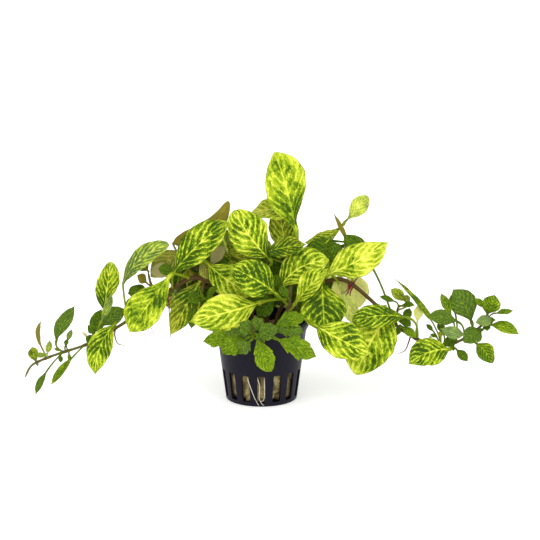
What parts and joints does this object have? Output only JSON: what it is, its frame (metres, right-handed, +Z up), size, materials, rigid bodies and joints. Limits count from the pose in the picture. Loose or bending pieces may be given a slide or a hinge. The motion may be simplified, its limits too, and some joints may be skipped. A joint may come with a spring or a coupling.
{
  "type": "potted aquarium plant",
  "caption": "Broad-leaved aquarium stem plant in a slotted net pot of stone wool, with bright veined leaves on top and thin leafy runners that trail out to both sides.",
  "frame": {"origin": "on the floor, under the middle of the pot's base", "axes": "+Z up along the pot's axis, +X to the right along the long runner, -Y to the front"},
  "size_m": [0.2728, 0.1071, 0.1376],
  "materials": {
    "pot": "satin near-black plastic with a faint blue tint",
    "stone_wool": "rough khaki fibre with darker patches",
    "leaf": "glossy green with yellow veins, olive-brown on some undersides"
  },
  "bodies": {
    "root": {"pot": "pot", "stone_wool": "stone_wool", "stem_front": "leaf", "stem_middle": "leaf", "stem_back": "leaf", "stem_rear": "leaf", "stem_right": "leaf", "stem_upper": "leaf", "runner_left": "leaf", "runner_right": "leaf", "plantlet": "leaf"}
  },
  "joints": []
}
